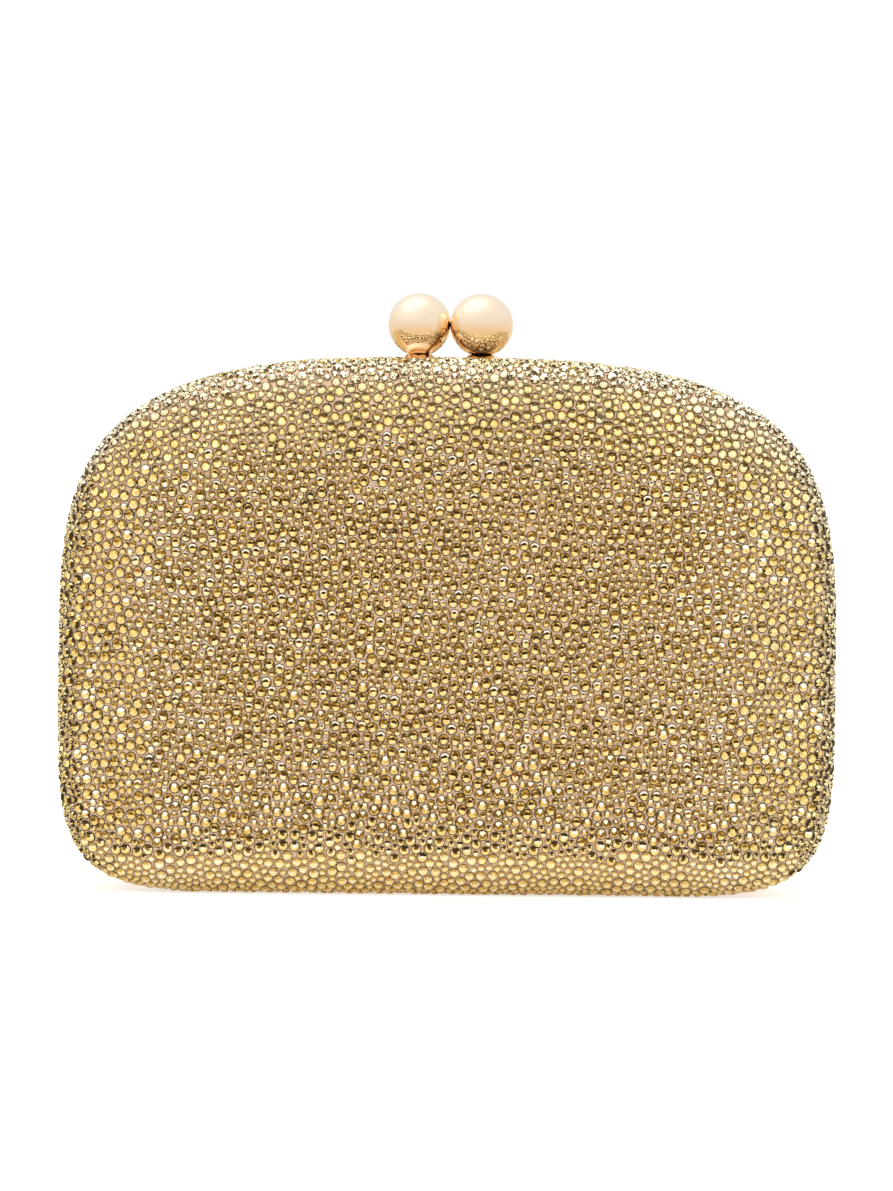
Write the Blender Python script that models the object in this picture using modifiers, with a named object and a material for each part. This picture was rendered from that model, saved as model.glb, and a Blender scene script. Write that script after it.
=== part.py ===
# Hard pillow-shaped evening clutch, hinged along its base and closed by a kiss-lock of two balls.
# Metres, +Z up. X is the width, the front face looks along -Y, and the base stands on z = 0.
# Each half is built outwards from the parting plane y = 0: frame, lining, shell, crystal cover.

import math

import bmesh
import bpy
import numpy as np
from mathutils import Vector

# Body over the stones: the widest level splits the outline into an upper and a lower curve
body_width = 0.1776
upper_height = 0.0778
lower_height = 0.0446
half_depth = 0.025
side_wall = 0.0085
base_trim = 0.0003

# Powers of the outline's curves, across and up, and of the pillow's rounding in depth
upper_powers = (3.06, 4.18)
lower_powers = (8.75, 3.96)
pillow_power = 3.2

# Layers of each half, from the outside in, and the gap left between touching pieces
cover_thickness = 0.0020
shell_thickness = 0.0016
lining_thickness = 0.0015
seat_gap = 0.0003

# Frame ring of each half
frame_band = 0.0030
frame_recess = 0.0006
lip_thickness = 0.0010
lip_reach = 0.0029
parting_gap = 0.0003

# Hinge along the base
hinge_length = 0.090
knuckle_count = 5
pin_radius = 0.0008
pin_clearance = 0.0001
pin_head_radius = 0.0013
pin_head_length = 0.0008
knuckle_radius = 0.0015
groove_clearance = 0.0004
leaf_thickness = 0.0008
leaf_height = 0.0029
leaf_parting = 0.0005
rivet_radius = 0.0006
rivet_clearance = 0.0002
rivet_count = 3

# Kiss-lock
ball_radius = 0.00703
ball_gap = 0.0003
ball_crossing = 0.0021
ball_rise = 0.0004
foot_radius = 0.0040
neck_radius = 0.0029
neck_height = 0.0026
stud_radius = 0.0008
nut_radius = 0.0018
nut_thickness = 0.0011
stud_end = 0.0004

# Gussets and pocket
gusset_low = 0.012
gusset_high = 0.086
gusset_fold_low = 0.002
gusset_fold_high = 0.008
gusset_depth = 0.0052
pocket_width = 0.092
pocket_bottom = 0.022
pocket_top = 0.080
pocket_thickness = 0.0008
welt_height = 0.003
welt_thickness = 0.0008

# Fineness of the meshes
columns = 48
pillow_rows = 7
outline_samples = 2880
merge_distance = 1e-6
cutter_overrun = 0.002
sharp_angle = math.radians(35)

# Worked out from the sizes above
body_height = upper_height + lower_height
half_gap = parting_gap / 2
frame_back = half_gap + frame_band
rim_depth = frame_back + seat_gap
shell_under = cover_thickness + seat_gap
lining_under = shell_under + shell_thickness + seat_gap
lip_outer = lining_under + lining_thickness + seat_gap
frame_inner = lip_outer + lip_thickness
hinge_height = knuckle_radius + seat_gap / 2
groove_radius = knuckle_radius + groove_clearance
relief_radius = hinge_height - frame_recess + seat_gap
leaf_face = leaf_parting / 2
leaf_back = leaf_face + leaf_thickness
leaf_bottom = hinge_height + groove_radius + seat_gap / 2
leaf_top = leaf_bottom + leaf_height
stud_depth = half_gap + frame_band / 2
frame_top = body_height - frame_recess
frame_under = body_height - frame_inner
foot_bottom = body_height + seat_gap
ball_spacing = math.sqrt((2 * ball_radius + ball_gap) ** 2 - ball_crossing**2)
ball_height = body_height + ball_rise + ball_radius
swing_height = (frame_top + frame_under) / 2


def material(name, colour, roughness, metallic):
    made = bpy.data.materials.new(name)
    made.use_nodes = True
    shader = made.node_tree.nodes["Principled BSDF"]
    shader.inputs["Base Color"].default_value = (*colour, 1.0)
    shader.inputs["Roughness"].default_value = roughness
    shader.inputs["Metallic"].default_value = metallic
    made.diffuse_color = (*colour, 1.0)
    return made


def add_object(name, mesh, finish=None):
    # A finish makes it a piece of the clutch, and no finish makes it a cutter
    made = bpy.data.objects.new(name, mesh)
    if finish:
        mesh.materials.append(finish)
        clutch.objects.link(made)
    else:
        made.hide_render = True
        made.display_type = "WIRE"
        cutters.objects.link(made)
    return made


def mesh_from(bm, name):
    mesh = bpy.data.meshes.new(name)
    bm.to_mesh(mesh)
    bm.free()
    mesh.shade_smooth()
    mesh.set_sharp_from_angle(angle=sharp_angle)
    return mesh


def outline_point(turn):
    # A point of the outline, seen from the front, about the widest level
    across, up = math.cos(turn), math.sin(turn)
    across_power, up_power = upper_powers if up >= 0 else lower_powers
    height = upper_height if up >= 0 else lower_height + base_trim
    x = math.copysign(abs(across) ** (2 / across_power), across) * body_width / 2
    z = math.copysign(abs(up) ** (2 / up_power), up) * height
    return x, max(z, -lower_height)


def outline():
    # The outline from the top centre round by the left, its points spread evenly by length and by turning
    turns = np.linspace(math.pi / 2, math.pi * 5 / 2, outline_samples + 1)
    points = np.array([outline_point(turn) for turn in turns])
    steps = np.diff(points, axis=0)
    lengths = np.hypot(steps[:, 0], steps[:, 1])
    headings = np.unwrap(np.arctan2(steps[:, 1], steps[:, 0]))
    turning = np.abs(np.diff(headings, prepend=headings[-1] - math.tau))
    progress = np.cumsum(lengths / lengths.sum() + turning / turning.sum())
    progress = np.concatenate([[0.0], progress])
    wanted = np.linspace(0, progress[-1], columns + 1)[:-1]
    return [Vector((np.interp(w, progress, points[:, 0]), np.interp(w, progress, points[:, 1]))) for w in wanted]


def inset_outline(points, inset):
    # The same outline moved in by one distance all round, its corners kept
    moved = []
    for index, point in enumerate(points):
        before = (point - points[index - 1]).normalized()
        after = (points[(index + 1) % len(points)] - point).normalized()
        normal = Vector((before.y, -before.x))
        bisector = (normal + Vector((after.y, -after.x))).normalized()
        moved.append(point - bisector * inset / bisector.dot(normal))
    return moved


def wrapped_grid(around, rows, place, capped=False):
    # A flat grid wrapped into a closed band, each point put where place says
    bm = bmesh.new()
    bmesh.ops.create_grid(bm, x_segments=around, y_segments=rows, size=1)
    for vert in bm.verts:
        column = round((vert.co.x + 1) / 2 * around) % around
        row = round((vert.co.y + 1) / 2 * rows)
        vert.co = place(column, row)
    bmesh.ops.remove_doubles(bm, verts=bm.verts, dist=merge_distance)
    if capped:
        bmesh.ops.holes_fill(bm, edges=[edge for edge in bm.edges if edge.is_boundary])
    bmesh.ops.recalc_face_normals(bm, faces=bm.faces)
    return bm


def pillow(side):
    # The outer surface of one half over the stones, open at its rim
    points = outline()

    def place(column, row):
        x, z = points[column]
        if row == 0:
            return Vector((x, side * rim_depth, z + lower_height))
        angle = (row - 1) / pillow_rows * math.pi / 2
        spread = max(math.cos(angle), 0) ** (2 / pillow_power)
        swell = math.sin(angle) ** (2 / pillow_power)
        if row == pillow_rows + 1:
            spread = 0
        depth = side_wall + (half_depth - side_wall) * swell
        return Vector((x * spread, side * depth, z * spread + lower_height))

    bm = wrapped_grid(columns, pillow_rows + 1, place)
    outwards = sum(face.normal.dot(Vector((0, side, 0))) for face in bm.faces)
    if outwards < 0:
        bmesh.ops.reverse_faces(bm, faces=bm.faces)
    return bm


def layer(name, side, under, thickness, finish):
    # A skin of even thickness, lying this far under the pillow's outer surface
    made = add_object(name, mesh_from(pillow(side), name), finish)
    if under:
        sink = made.modifiers.new("sink", "DISPLACE")
        sink.direction = "NORMAL"
        sink.mid_level = 0
        sink.strength = -under
    wall = made.modifiers.new("wall", "SOLIDIFY")
    wall.thickness = thickness
    wall.offset = -1
    wall.use_even_offset = True
    return made


def cylinder(name, radius, start, end, sides=20, radius_end=None, finish=None):
    # A round bar, or a cone where the end has its own radius, from start to end
    start, end = Vector(start), Vector(end)
    bm = bmesh.new()
    bmesh.ops.create_cone(
        bm,
        cap_ends=True,
        segments=sides,
        radius1=radius,
        radius2=radius if radius_end is None else radius_end,
        depth=(end - start).length,
    )
    mesh = mesh_from(bm, name)
    made = add_object(name, mesh, finish)
    made.rotation_mode = "QUATERNION"
    made.rotation_quaternion = (end - start).to_track_quat("Z", "Y")
    made.location = (start + end) / 2
    return made


def box(name, low, high, finish=None):
    low, high = Vector(low), Vector(high)
    bm = bmesh.new()
    bmesh.ops.create_cube(bm, size=1)
    bmesh.ops.scale(bm, vec=high - low, verts=bm.verts)
    bmesh.ops.translate(bm, vec=(low + high) / 2, verts=bm.verts)
    return add_object(name, mesh_from(bm, name), finish)


def boolean(made, other, operation):
    step = made.modifiers.new(f"{operation.lower()} {other.name}", "BOOLEAN")
    step.operation = operation
    step.solver = "EXACT"
    step.object = other


def hang_on(parent, *pieces):
    # Parents the pieces to an empty on their joint's axis, and leaves them where they are
    for piece in pieces:
        piece.parent = parent
        piece.matrix_parent_inverse = parent.matrix_world.inverted()


def pivot(name, place):
    made = bpy.data.objects.new(name, None)
    made.location = place
    made.empty_display_size = ball_radius
    clutch.objects.link(made)
    bpy.context.view_layer.update()
    return made


def frame_ring(name, side):
    # A flat band facing the parting plane, with a lip that covers the lining's edge
    points = outline()
    profile = [
        (frame_recess, half_gap),
        (frame_recess, frame_back),
        (lip_outer, frame_back),
        (lip_outer, frame_back + lip_reach),
        (frame_inner, frame_back + lip_reach),
        (frame_inner, half_gap),
    ]
    loops = [inset_outline(points, inset) for inset, _ in profile]

    def place(column, row):
        corner = row % len(profile)
        x, z = loops[corner][column]
        return Vector((x, side * profile[corner][1], z + lower_height))

    bm = wrapped_grid(columns, len(profile), place)
    return add_object(name, mesh_from(bm, name), brass)


def rivet_places():
    step = hinge_length / rivet_count
    return [(index - (rivet_count - 1) / 2) * step for index in range(rivet_count)]


def cut_frame(frame, side):
    # Room in the frame for the knuckles, the leaf, its rivets and the kiss-lock's stud
    end = hinge_length / 2 + pin_head_length + seat_gap * 2
    groove = cylinder(
        f"{frame.name}_groove", groove_radius, (-end, 0, hinge_height), (end, 0, hinge_height), sides=32
    )
    boolean(frame, groove, "DIFFERENCE")
    # The parting edges are eased along the whole base, so that they pass each other as the clutch opens
    end = side_reach(hinge_height, frame_recess)
    relief = cylinder(
        f"{frame.name}_relief", relief_radius, (-end, 0, hinge_height), (end, 0, hinge_height), sides=32
    )
    boolean(frame, relief, "DIFFERENCE")
    across = hinge_length / 2 + seat_gap
    depths = sorted((-side * cutter_overrun, side * (leaf_back + seat_gap)))
    rebate = box(
        f"{frame.name}_rebate",
        (-across, depths[0], hinge_height),
        (across, depths[1], frame_inner + cutter_overrun),
    )
    boolean(frame, rebate, "DIFFERENCE")
    for index, x in enumerate(rivet_places()):
        z = (leaf_bottom + leaf_top) / 2
        hole = cylinder(
            f"{frame.name}_rivet_hole_{index + 1}",
            rivet_radius + rivet_clearance,
            (x, 0, z),
            (x, side * (frame_back + cutter_overrun), z),
            sides=16,
        )
        boolean(frame, hole, "DIFFERENCE")
    x, y = side * ball_spacing / 2, side * stud_depth
    bore = cylinder(
        f"{frame.name}_stud_hole",
        stud_radius + seat_gap,
        (x, y, frame_under - cutter_overrun),
        (x, y, frame_top + cutter_overrun),
        sides=20,
    )
    boolean(frame, bore, "DIFFERENCE")


def hinge_leaf(name, side, owned):
    # A plate let into the frame: it has knuckles on its own stretches of the pin, and notches for the others
    across = hinge_length / 2
    plate_end = across - seat_gap / 2
    faces = sorted((side * leaf_face, side * leaf_back))
    leaf = box(name, (-plate_end, faces[0], hinge_height), (plate_end, faces[1], leaf_top), brass)
    stretch = hinge_length / knuckle_count
    for index in range(knuckle_count):
        start = -across + index * stretch
        end = start + stretch
        if index % 2 == owned:
            knuckle = cylinder(
                f"{name}_knuckle_{index + 1}",
                knuckle_radius,
                (start + (seat_gap / 2 if index else 0), 0, hinge_height),
                (end - (seat_gap / 2 if index < knuckle_count - 1 else 0), 0, hinge_height),
            )
            boolean(leaf, knuckle, "UNION")
            continue
        notch = box(
            f"{name}_notch_{index + 1}",
            (start - (seat_gap if index else cutter_overrun), faces[0] - cutter_overrun, -cutter_overrun),
            (
                end + (seat_gap if index < knuckle_count - 1 else cutter_overrun),
                faces[1] + cutter_overrun,
                leaf_bottom,
            ),
        )
        boolean(leaf, notch, "DIFFERENCE")
    bore = cylinder(
        f"{name}_bore",
        pin_radius + pin_clearance,
        (-across - cutter_overrun, 0, hinge_height),
        (across + cutter_overrun, 0, hinge_height),
    )
    boolean(leaf, bore, "DIFFERENCE")
    for index, x in enumerate(rivet_places()):
        z = (leaf_bottom + leaf_top) / 2
        hole = cylinder(
            f"{name}_rivet_hole_{index + 1}",
            rivet_radius + rivet_clearance,
            (x, 0, z),
            (x, side * (leaf_back + cutter_overrun), z),
            sides=16,
        )
        boolean(leaf, hole, "DIFFERENCE")
    return leaf


def turned(name, profile, steps, finish):
    # A profile of (radius, height) points turned about Z, from the top down
    bm = bmesh.new()
    verts = [bm.verts.new((radius, 0, height)) for radius, height in profile]
    for first, second in zip(verts, verts[1:]):
        bm.edges.new((first, second))
    made = add_object(name, mesh_from(bm, name), finish)
    screw = made.modifiers.new("turn", "SCREW")
    screw.steps = steps
    screw.render_steps = steps
    screw.use_merge_vertices = True
    screw.merge_threshold = merge_distance
    screw.use_normal_calculate = False
    return made


def make_hinge_pin():
    # A plain wire with a peened head just past each end knuckle
    inner = hinge_length / 2 + seat_gap / 2
    outer = inner + pin_head_length
    profile = [
        (0, outer),
        (pin_head_radius, outer),
        (pin_head_radius, inner),
        (pin_radius, inner),
        (pin_radius, -inner),
        (pin_head_radius, -inner),
        (pin_head_radius, -outer),
        (0, -outer),
    ]
    pin = turned("hinge_pin", profile, 20, steel)
    pin.rotation_euler = (0, math.pi / 2, 0)
    pin.location = (0, 0, hinge_height)
    return pin


def make_rivets(half, side):
    z = (leaf_bottom + leaf_top) / 2
    return [
        cylinder(
            f"{half}_leaf_rivet_{index + 1}",
            rivet_radius,
            (x, side * leaf_face, z),
            (x, side * frame_back, z),
            sides=16,
            finish=steel,
        )
        for index, x in enumerate(rivet_places())
    ]


def make_knob(name, side):
    # A ball and its flared foot in one casting, on a stud through the frame's top bar
    x, y = side * ball_spacing / 2, side * stud_depth
    bm = bmesh.new()
    bmesh.ops.create_uvsphere(bm, u_segments=28, v_segments=16, radius=ball_radius)
    knob = add_object(name, mesh_from(bm, name), gold)
    knob.location = (x, -side * ball_crossing / 2, ball_height)
    foot = cylinder(
        f"{name}_foot",
        foot_radius,
        (x, y, foot_bottom),
        (x, y, foot_bottom + neck_height),
        sides=28,
        radius_end=neck_radius,
    )
    boolean(knob, foot, "UNION")
    end = frame_under - seat_gap - nut_thickness - stud_end
    stud = cylinder(f"{name}_stud", stud_radius, (x, y, end), (x, y, foot_bottom + neck_height / 2), sides=20)
    boolean(knob, stud, "UNION")
    nut = cylinder(
        f"{name}_nut",
        nut_radius,
        (x, y, frame_under - seat_gap - nut_thickness),
        (x, y, frame_under - seat_gap),
        sides=6,
        finish=steel,
    )
    hole = cylinder(
        f"{name}_nut_hole",
        stud_radius + seat_gap / 2,
        (x, y, frame_under - nut_thickness - cutter_overrun),
        (x, y, frame_under + cutter_overrun),
        sides=20,
    )
    boolean(nut, hole, "DIFFERENCE")
    return knob, nut


def side_reach(height, inset):
    # How far out the outline lies at this height above the base, once moved in by the inset
    loop = [point for point in inset_outline(outline(), inset) if point.x > 0]
    loop.sort(key=lambda point: point.y)
    return np.interp(height - lower_height, [point.y for point in loop], [point.x for point in loop])


def make_gusset(name, side):
    # The folded stack of a side gusset: a wedge that widens upwards just inside the frames
    rows = 8

    def place(column, row):
        share = row / rows
        z = gusset_low + (gusset_high - gusset_low) * share
        outer = side_reach(z, frame_inner + seat_gap)
        fold = gusset_fold_low + (gusset_fold_high - gusset_fold_low) * share
        x = outer if column in (0, 3) else outer - fold
        y = gusset_depth / 2 * (1 if column < 2 else -1)
        return Vector((side * x, y, z))

    bm = wrapped_grid(4, rows, place, capped=True)
    return add_object(name, mesh_from(bm, name), leather)


def make_pocket():
    # A slip pocket that lies along the rear lining, and the welt along its mouth
    across = pocket_width / 2
    under = lining_under + lining_thickness + seat_gap
    pocket = layer("rear_pocket", 1, under, pocket_thickness, leather)
    patch = box(
        "pocket_patch", (-across, side_wall, pocket_bottom), (across, half_depth, pocket_top)
    )
    boolean(pocket, patch, "INTERSECT")
    under += pocket_thickness + seat_gap
    welt = layer("pocket_welt", 1, under, welt_thickness, leather)
    strip = box(
        "welt_strip", (-across, side_wall, pocket_top - welt_height), (across, half_depth, pocket_top)
    )
    boolean(welt, strip, "INTERSECT")
    return pocket, welt


def make_half(half, side):
    # The frame and the three layers behind it
    frame = frame_ring(f"{half}_frame", side)
    cut_frame(frame, side)
    return [
        frame,
        layer(f"{half}_crystal_cover", side, 0, cover_thickness, crystal),
        layer(f"{half}_shell", side, shell_under, shell_thickness, plastic),
        layer(f"{half}_lining", side, lining_under, lining_thickness, leather),
        hinge_leaf(f"{half}_hinge_leaf", side, owned=0 if side > 0 else 1),
        *make_rivets(half, side),
    ]


for old in list(bpy.data.objects):
    bpy.data.objects.remove(old)

clutch = bpy.data.collections.new("clutch")
cutters = bpy.data.collections.new("cutters")
cutters.hide_render = True
for collection in (clutch, cutters):
    bpy.context.scene.collection.children.link(collection)

crystal = material("gold_crystal_suede", (0.47, 0.30, 0.13), 0.35, 0.3)
plastic = material("moulded_shell", (0.10, 0.09, 0.08), 0.5, 0.0)
leather = material("beige_lining_leather", (0.52, 0.40, 0.28), 0.6, 0.0)
brass = material("gold_plated_brass", (0.87, 0.62, 0.33), 0.22, 1.0)
gold = material("polished_gold", (0.95, 0.70, 0.42), 0.08, 1.0)
steel = material("plated_steel", (0.72, 0.62, 0.48), 0.3, 1.0)

hinge = pivot("hinge_axis", (0, 0, hinge_height))
hang_on(hinge, *make_half("front", -1))
make_half("rear", 1)
make_hinge_pin()
make_pocket()
for name, side in (("left", -1), ("right", 1)):
    make_gusset(f"{name}_gusset", side)
    swing = pivot(f"{name}_ball_axis", (side * ball_spacing / 2, side * stud_depth, swing_height))
    hang_on(swing, *make_knob(f"{name}_ball", side))
    if side < 0:
        hang_on(hinge, swing)
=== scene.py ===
# Looks of the crystal clutch: two pillow-shaped halves set with gold stones, closed by two polished balls.
# Metres, +Z up, front face along -Y, as in the frame.

import math

import bpy
import numpy as np
from mathutils import Matrix, Vector, noise
from mathutils.bvhtree import BVHTree
from mathutils.interpolate import poly_3d_calc
from mathutils.kdtree import KDTree


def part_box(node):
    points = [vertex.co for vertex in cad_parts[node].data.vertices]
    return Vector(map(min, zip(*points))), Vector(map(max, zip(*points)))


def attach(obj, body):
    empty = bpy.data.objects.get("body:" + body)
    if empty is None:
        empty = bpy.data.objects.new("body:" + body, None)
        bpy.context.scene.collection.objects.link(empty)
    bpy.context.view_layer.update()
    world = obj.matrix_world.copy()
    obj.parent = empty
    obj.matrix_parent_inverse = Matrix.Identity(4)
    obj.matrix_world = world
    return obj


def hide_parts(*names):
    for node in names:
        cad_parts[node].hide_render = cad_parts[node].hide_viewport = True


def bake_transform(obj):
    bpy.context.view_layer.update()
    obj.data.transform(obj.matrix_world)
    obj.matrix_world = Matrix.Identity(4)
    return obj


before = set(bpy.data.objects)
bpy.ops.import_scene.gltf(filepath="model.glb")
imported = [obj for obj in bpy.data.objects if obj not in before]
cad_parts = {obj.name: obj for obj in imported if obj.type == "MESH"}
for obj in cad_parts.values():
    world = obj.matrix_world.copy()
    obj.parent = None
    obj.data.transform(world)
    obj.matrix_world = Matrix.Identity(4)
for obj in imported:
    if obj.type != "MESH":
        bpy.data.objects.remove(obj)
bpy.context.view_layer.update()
bpy.ops.object.select_all(action="DESELECT")
print("frame loaded")

coverLow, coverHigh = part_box("rear_crystal_cover")
seatGap = 0.0003                 # left between touching pieces, as in the frame

# The pillow shape that both halves share
bodyShape = {
    "widestLevel": 0.0446,       # height of the widest level above the base
    "upperPowers": (3.06, 4.18), # roundness of the outline above that level, across and up
    "lowerPowers": (8.75, 3.96),
    "pillowPower": 3.2,          # roundness of each half in depth
    "sideWall": 0.0085,          # depth of the straight wall next to the frame
    "baseTrim": 0.0003,          # how much is trimmed off below, to give the flat base
    "columns": 288,
    "rows": 36,
    "samples": 2880,
}


def active(piece):
    bpy.ops.object.select_all(action="DESELECT")
    piece.select_set(True)
    bpy.context.view_layer.objects.active = piece


def linked(piece):
    bpy.context.scene.collection.objects.link(piece)
    return piece


def settled():
    # Moves the place, turn and scale of the active object into its mesh
    bpy.ops.object.transform_apply(location=True, rotation=True, scale=True)
    return bpy.context.object


def unit(rows):
    # Each row brought to length 1
    return rows / np.linalg.norm(rows, axis=1)[:, None]


def editing(piece):
    # Opens the piece in edit mode with everything selected
    active(piece)
    bpy.ops.object.mode_set(mode="EDIT")
    bpy.ops.mesh.select_mode(type="VERT")
    bpy.ops.mesh.select_all(action="SELECT")


def editingFaces(piece, wanted):
    # Opens the piece in edit mode with only the faces for which wanted(face) holds
    active(piece)
    bpy.ops.object.mode_set(mode="EDIT")
    bpy.ops.mesh.select_mode(type="FACE")
    bpy.ops.mesh.select_all(action="DESELECT")
    bpy.ops.object.mode_set(mode="OBJECT")
    for face in piece.data.polygons:
        face.select = wanted(face)
    bpy.ops.object.mode_set(mode="EDIT")


def extruded(x, y, z):
    # Draws out what is selected in edit mode
    bpy.ops.mesh.extrude_region_move(TRANSFORM_OT_translate={"value": (x, y, z)})


def scaled(growth, centre):
    # Scales what is selected, about the centre
    bpy.ops.transform.resize(value=growth, center_override=centre)


def done():
    bpy.ops.object.mode_set(mode="OBJECT")
    return bpy.context.object


def applied(piece, kind, **settings):
    # Adds one modifier and applies it at once
    active(piece)
    step = piece.modifiers.new(kind.lower(), kind)
    for key, value in settings.items():
        setattr(step, key, value)
    bpy.ops.object.modifier_apply(modifier=step.name)


def cutWith(piece, other, operation="DIFFERENCE"):
    # A Boolean with the other object, which is used up
    applied(piece, "BOOLEAN", object=other, operation=operation, solver="EXACT")
    bpy.data.objects.remove(other)


def tidied(piece, gap=1e-6):
    # Merges doubles and turns the faces outwards
    editing(piece)
    bpy.ops.mesh.remove_doubles(threshold=gap)
    bpy.ops.mesh.normals_make_consistent(inside=False)
    done()


def flipped(piece):
    editing(piece)
    bpy.ops.mesh.flip_normals()
    return done()


def smoothed(piece, degrees=35):
    active(piece)
    bpy.ops.object.shade_smooth_by_angle(angle=math.radians(degrees))


def rounded(piece, width, degrees=50, segments=2):
    limit = math.radians(degrees)
    applied(piece, "BEVEL", width=width, segments=segments, limit_method="ANGLE", angle_limit=limit)


def dressed(piece, finish):
    piece.data.materials.clear()
    piece.data.materials.append(finish)


def finished(piece, finish, body, slotName, *nodes):
    # Gives the piece its material and its body, and hides the nodes that it stands for. Its slot name is not
    # used.
    dressed(piece, finish)
    if body:
        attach(piece, body)
    if nodes:
        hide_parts(*nodes)
    return piece


def areaOf(mesh):
    return sum(face.area for face in mesh.polygons)


def outlineLoop(columns, inset=0.0):
    # The outline seen from the front, from the top centre round by the left, moved in by the inset
    shape = bodyShape
    turns = np.linspace(math.pi / 2, math.pi * 5 / 2, shape["samples"] + 1)
    across, up = np.cos(turns), np.sin(turns)
    above = up >= 0
    acrossPower = np.where(above, shape["upperPowers"][0], shape["lowerPowers"][0])
    upPower = np.where(above, shape["upperPowers"][1], shape["lowerPowers"][1])
    upperHeight = coverHigh.z - shape["widestLevel"]
    height = np.where(above, upperHeight, shape["widestLevel"] + shape["baseTrim"])
    x = np.sign(across) * np.abs(across) ** (2 / acrossPower) * coverHigh.x
    z = np.sign(up) * np.abs(up) ** (2 / upPower) * height
    points = np.stack([x, np.maximum(z, -shape["widestLevel"])], axis=1)
    steps = np.diff(points, axis=0)
    lengths = np.hypot(steps[:, 0], steps[:, 1])
    headings = np.unwrap(np.arctan2(steps[:, 1], steps[:, 0]))
    turning = np.abs(np.diff(headings, prepend=headings[-1] - math.tau))
    progress = np.concatenate([[0.0], np.cumsum(lengths / lengths.sum() + turning / turning.sum())])
    wanted = np.linspace(0, progress[-1], columns + 1)[:-1]
    loop = np.stack([np.interp(wanted, progress, points[:, axis]) for axis in (0, 1)], axis=1)
    along = unit(np.roll(loop, -1, axis=0) - np.roll(loop, 1, axis=0))
    outwards = np.stack([along[:, 1], -along[:, 0]], axis=1)
    loop = loop - outwards * inset
    loop[:, 1] += shape["widestLevel"]
    return loop


def reachAt(heights, inset):
    # How far out the outline lies at these heights, once moved in by the inset
    loop = outlineLoop(bodyShape["samples"], inset)
    loop = loop[loop[:, 0] > 0]
    loop = loop[np.argsort(loop[:, 1])]
    return np.interp(heights, loop[:, 1], loop[:, 0])


def outlineRing(name, columns, inset, depth):
    # A circle primitive shaped to the outline, at this depth
    bpy.ops.mesh.primitive_circle_add(vertices=columns, radius=coverHigh.x)
    ring = bpy.context.object
    ring.name = ring.data.name = name
    for vertex, (x, z) in zip(ring.data.vertices, outlineLoop(columns, inset)):
        vertex.co = (x, depth, z)
    return ring


def pillow(name, side, columns, rows):
    # The surface over the stones' tops: the rim's wall, then rounded in towards the middle of the face
    shape = bodyShape
    piece = outlineRing(name, columns, 0.0, side * coverLow.y)
    editing(piece)
    wallStep = (shape["sideWall"] - coverLow.y) / 2
    for _ in range(2):
        extruded(0, side * wallStep, 0)
    swelling = coverHigh.y - shape["sideWall"]
    depth, spread = shape["sideWall"], 1.0
    for row in range(1, rows + 1):
        angle = row / rows * math.pi / 2
        newDepth = shape["sideWall"] + swelling * math.sin(angle) ** (2 / shape["pillowPower"])
        newSpread = max(math.cos(angle), 0.0) ** (2 / shape["pillowPower"]) if row < rows else 0.0
        extruded(0, side * (newDepth - depth), 0)
        growth = newSpread / spread
        scaled((growth, 1, growth), (0, side * newDepth, shape["widestLevel"]))
        depth, spread = newDepth, newSpread
    done()
    tidied(piece)
    outwards = sum(face.normal.y * side * face.area for face in piece.data.polygons)
    return flipped(piece) if outwards < 0 else piece


def skin(name, side, columns, rows, under, thickness):
    # A skin of even thickness this far under the stones' tops, and its outer surface by itself
    piece = pillow(name, side, columns, rows)
    applied(piece, "DISPLACE", direction="NORMAL", mid_level=0, strength=-under)
    surface = piece.data.copy()
    applied(piece, "SOLIDIFY", thickness=thickness, offset=-1, use_even_offset=True)
    smoothed(piece)
    return piece, surface


def boxAt(low, high):
    low, high = Vector(low), Vector(high)
    bpy.ops.mesh.primitive_cube_add(size=1, location=(low + high) / 2, scale=high - low)
    return settled()


def rodAt(radius, start, end, sides=32):
    start, end = Vector(start), Vector(end)
    bpy.ops.mesh.primitive_cylinder_add(
        vertices=sides,
        radius=radius,
        depth=(end - start).length,
        location=(start + end) / 2,
        rotation=(end - start).to_track_quat("Z", "Y").to_euler(),
    )
    return settled()


def rowsOf(values, key):
    # One vector of each vertex or normal, as the rows of an array
    rows = np.empty(len(values) * 3)
    values.foreach_get(key, rows)
    return rows.reshape(-1, 3)


def surfaceOf(mesh):
    # A mesh's corners, their normals, its faces and a tree that finds its nearest point
    corners = rowsOf(mesh.vertices, "co")
    faces = [tuple(face.vertices) for face in mesh.polygons]
    tree = BVHTree.FromPolygons(corners.tolist(), faces)
    return corners, rowsOf(mesh.vertex_normals, "vector"), faces, tree


def trianglesOf(corners, faces):
    # The faces cut into triangles: their corners' numbers, their corners and their upright vectors
    numbers = np.array([(f[0], f[k], f[k + 1]) for f in faces for k in range(1, len(f) - 1)])
    a, b, c = (corners[numbers[:, k]] for k in range(3))
    return numbers, (a, b, c), np.cross(b - a, c - a)


def copied(name, shape, places, turns, sizes):
    # One mesh with a copy of the shape at every place. A turn's rows are the copy's own three axes.
    model = rowsOf(shape.vertices, "co")
    world = places[:, None, :] + np.einsum("ni,ki,nij->nkj", sizes, model, turns)
    faces = [list(face.vertices) for face in shape.polygons]
    starts = np.cumsum([0] + [len(face) for face in faces[:-1]])
    corners = np.concatenate(faces)
    count = len(places)
    shift = np.arange(count)[:, None]
    mesh = bpy.data.meshes.new(name)
    mesh.vertices.add(count * len(model))
    mesh.vertices.foreach_set("co", world.ravel())
    mesh.loops.add(count * len(corners))
    mesh.loops.foreach_set("vertex_index", (corners[None, :] + shift * len(model)).ravel())
    mesh.polygons.add(count * len(faces))
    mesh.polygons.foreach_set("loop_start", (starts[None, :] + shift * len(corners)).ravel())
    mesh.update(calc_edges=True)
    mesh.validate()
    return linked(bpy.data.objects.new(name, mesh))


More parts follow.
